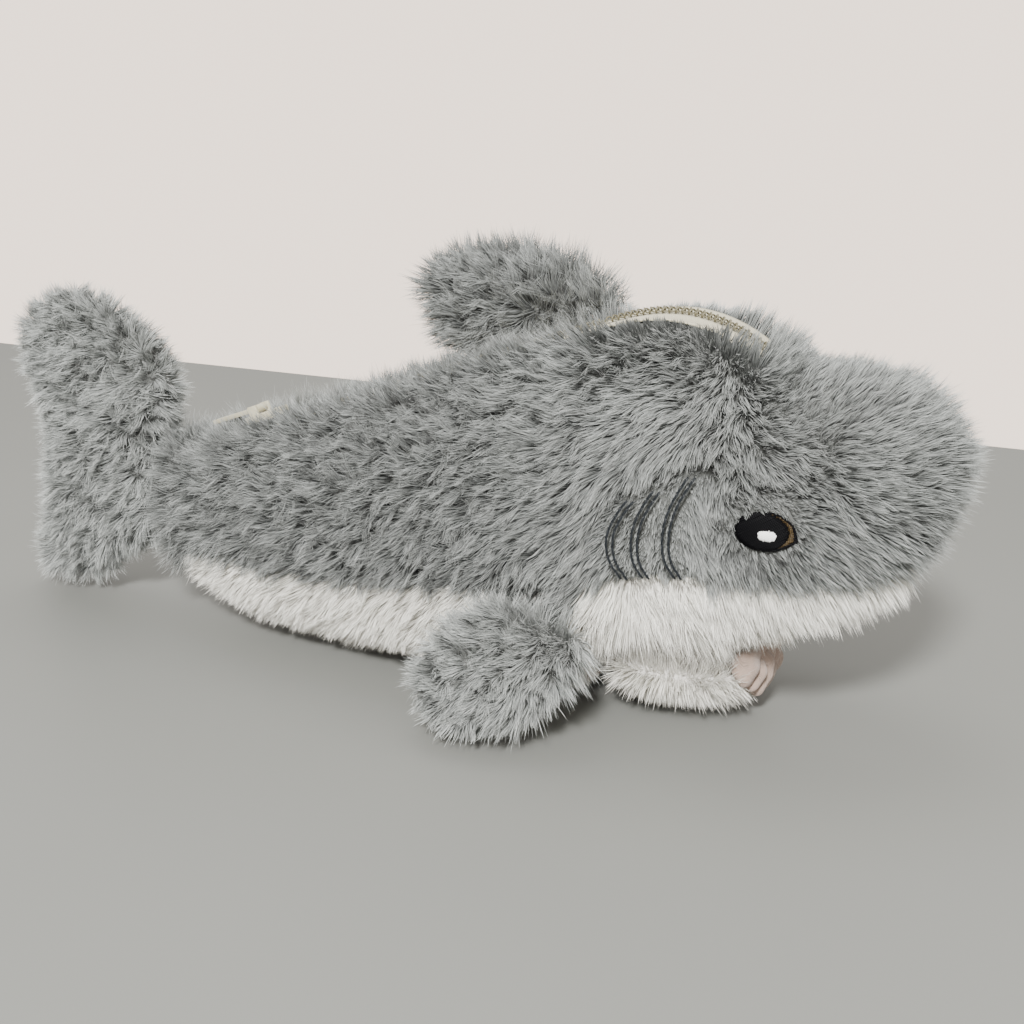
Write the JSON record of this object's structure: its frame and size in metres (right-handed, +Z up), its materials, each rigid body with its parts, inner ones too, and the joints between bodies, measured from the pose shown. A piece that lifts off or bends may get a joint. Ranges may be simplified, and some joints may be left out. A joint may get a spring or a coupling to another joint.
{
  "type": "plush shark zip pouch",
  "caption": "Plush shark-shaped zip pouch with long grey and white pile, swinging tail, hinged fins and lower jaw, and a back zip with a sliding pull.",
  "frame": {"origin": "centre of the footprint, on the surface that the belly and jaw rest on", "axes": "+X to the nose, +Y to the shark's left, +Z up"},
  "size_m": [0.2359, 0.0918, 0.0928],
  "materials": {
    "grey_fur": "long pile",
    "white_fur": "long pile",
    "stuffing": "fibre fill",
    "lining": "soft crumpled cloth",
    "zip_tape": "woven tape",
    "zip_coil": "nylon coil",
    "zip_slider": "painted",
    "brown_thread": "satin embroidery",
    "white_thread": "satin embroidery",
    "black_thread": "satin embroidery"
  },
  "bodies": {
    "pouch": {"flank_right": "grey_fur", "flank_left": "grey_fur", "belly_panel": "white_fur", "snout_panel": "white_fur", "pouch_lining": "lining", "head_stuffing": "stuffing", "rear_stuffing": "stuffing", "mouth_lining_upper": "lining", "zip_front_tape_right": "zip_tape", "zip_front_tape_left": "zip_tape", "zip_front_coil_right": "zip_coil", "zip_front_coil_left": "zip_coil", "zip_front_stop": "zip_coil", "zip_rear_stop": "zip_coil", "eye_right_rim": "brown_thread", "eye_right_pupil": "black_thread", "eye_right_glint": "white_thread", "eye_left_rim": "brown_thread", "eye_left_pupil": "black_thread", "eye_left_glint": "white_thread", "gill_right_front": "black_thread", "gill_right_middle": "black_thread", "gill_right_rear": "black_thread", "gill_left_front": "black_thread", "gill_left_middle": "black_thread", "gill_left_rear": "black_thread"},
    "jaw": {"jaw_panel": "white_fur", "mouth_lining_lower": "lining", "jaw_stuffing": "stuffing"},
    "zip_lip_right": {"zip_tape_right": "zip_tape", "zip_coil_right": "zip_coil"},
    "zip_lip_left": {"zip_tape_left": "zip_tape", "zip_coil_left": "zip_coil"},
    "slider": {"zip_slider": "zip_slider"},
    "pull": {"zip_pull": "zip_slider"},
    "dorsal_fin": {"dorsal_panel_right": "grey_fur", "dorsal_panel_left": "grey_fur", "dorsal_stuffing": "stuffing"},
    "side_fin_right": {"side_fin_right_top": "grey_fur", "side_fin_right_bottom": "grey_fur", "side_fin_right_stuffing": "stuffing"},
    "side_fin_left": {"side_fin_left_top": "grey_fur", "side_fin_left_bottom": "grey_fur", "side_fin_left_stuffing": "stuffing"},
    "tail": {"tail_panel_right": "grey_fur", "tail_panel_left": "grey_fur", "tail_stuffing": "stuffing"}
  },
  "joints": [
    {"name": "tail_swing", "type": "hinge", "parent": "pouch", "child": "tail", "pos_m": [-0.08, 0, 0.03], "axis": [0, 0, 1], "range_deg": [-30, 30], "stiffness_Nm_per_rad": 0.004},
    {"name": "jaw_close", "type": "hinge", "parent": "pouch", "child": "jaw", "pos_m": [0.0505, 0, 0.019], "axis": [0, -1, 0], "range_deg": [0, 6], "stiffness_Nm_per_rad": 0.002},
    {"name": "zip_lip_right_fold", "type": "hinge", "parent": "pouch", "child": "zip_lip_right", "pos_m": [-0.00441, -0.0073, 0.0652], "axis": [-0.9397, 0, -0.342], "range_deg": [0, 60], "stiffness_Nm_per_rad": 0.0003},
    {"name": "zip_lip_left_fold", "type": "hinge", "parent": "pouch", "child": "zip_lip_left", "pos_m": [-0.00441, 0.0073, 0.0652], "axis": [0.9397, 0, 0.342], "range_deg": [0, 60], "stiffness_Nm_per_rad": 0.0003},
    {"name": "slider_run", "type": "slide", "parent": "pouch", "child": "slider", "axis": [0.9397, 0, 0.342], "range_m": [0, 0.085]},
    {"name": "pull_turn", "type": "hinge", "parent": "slider", "child": "pull", "pos_m": [-0.04698, 0, 0.05487], "axis": [0, 1, 0], "range_deg": [0, 150]},
    {"name": "dorsal_fin_flop", "type": "hinge", "parent": "pouch", "child": "dorsal_fin", "pos_m": [0.02, 0.0114, 0.075], "axis": [0.9397, 0, 0.342], "range_deg": [-30, 30], "stiffness_Nm_per_rad": 0.002},
    {"name": "side_fin_right_lift", "type": "hinge", "parent": "pouch", "child": "side_fin_right", "pos_m": [0.043, -0.028, 0.0275], "axis": [-0.9636, 0, 0.2672], "range_deg": [0, 60], "stiffness_Nm_per_rad": 0.002},
    {"name": "side_fin_left_lift", "type": "hinge", "parent": "pouch", "child": "side_fin_left", "pos_m": [0.043, 0.028, 0.0275], "axis": [0.9636, 0, -0.2672], "range_deg": [0, 60], "stiffness_Nm_per_rad": 0.002}
  ]
}
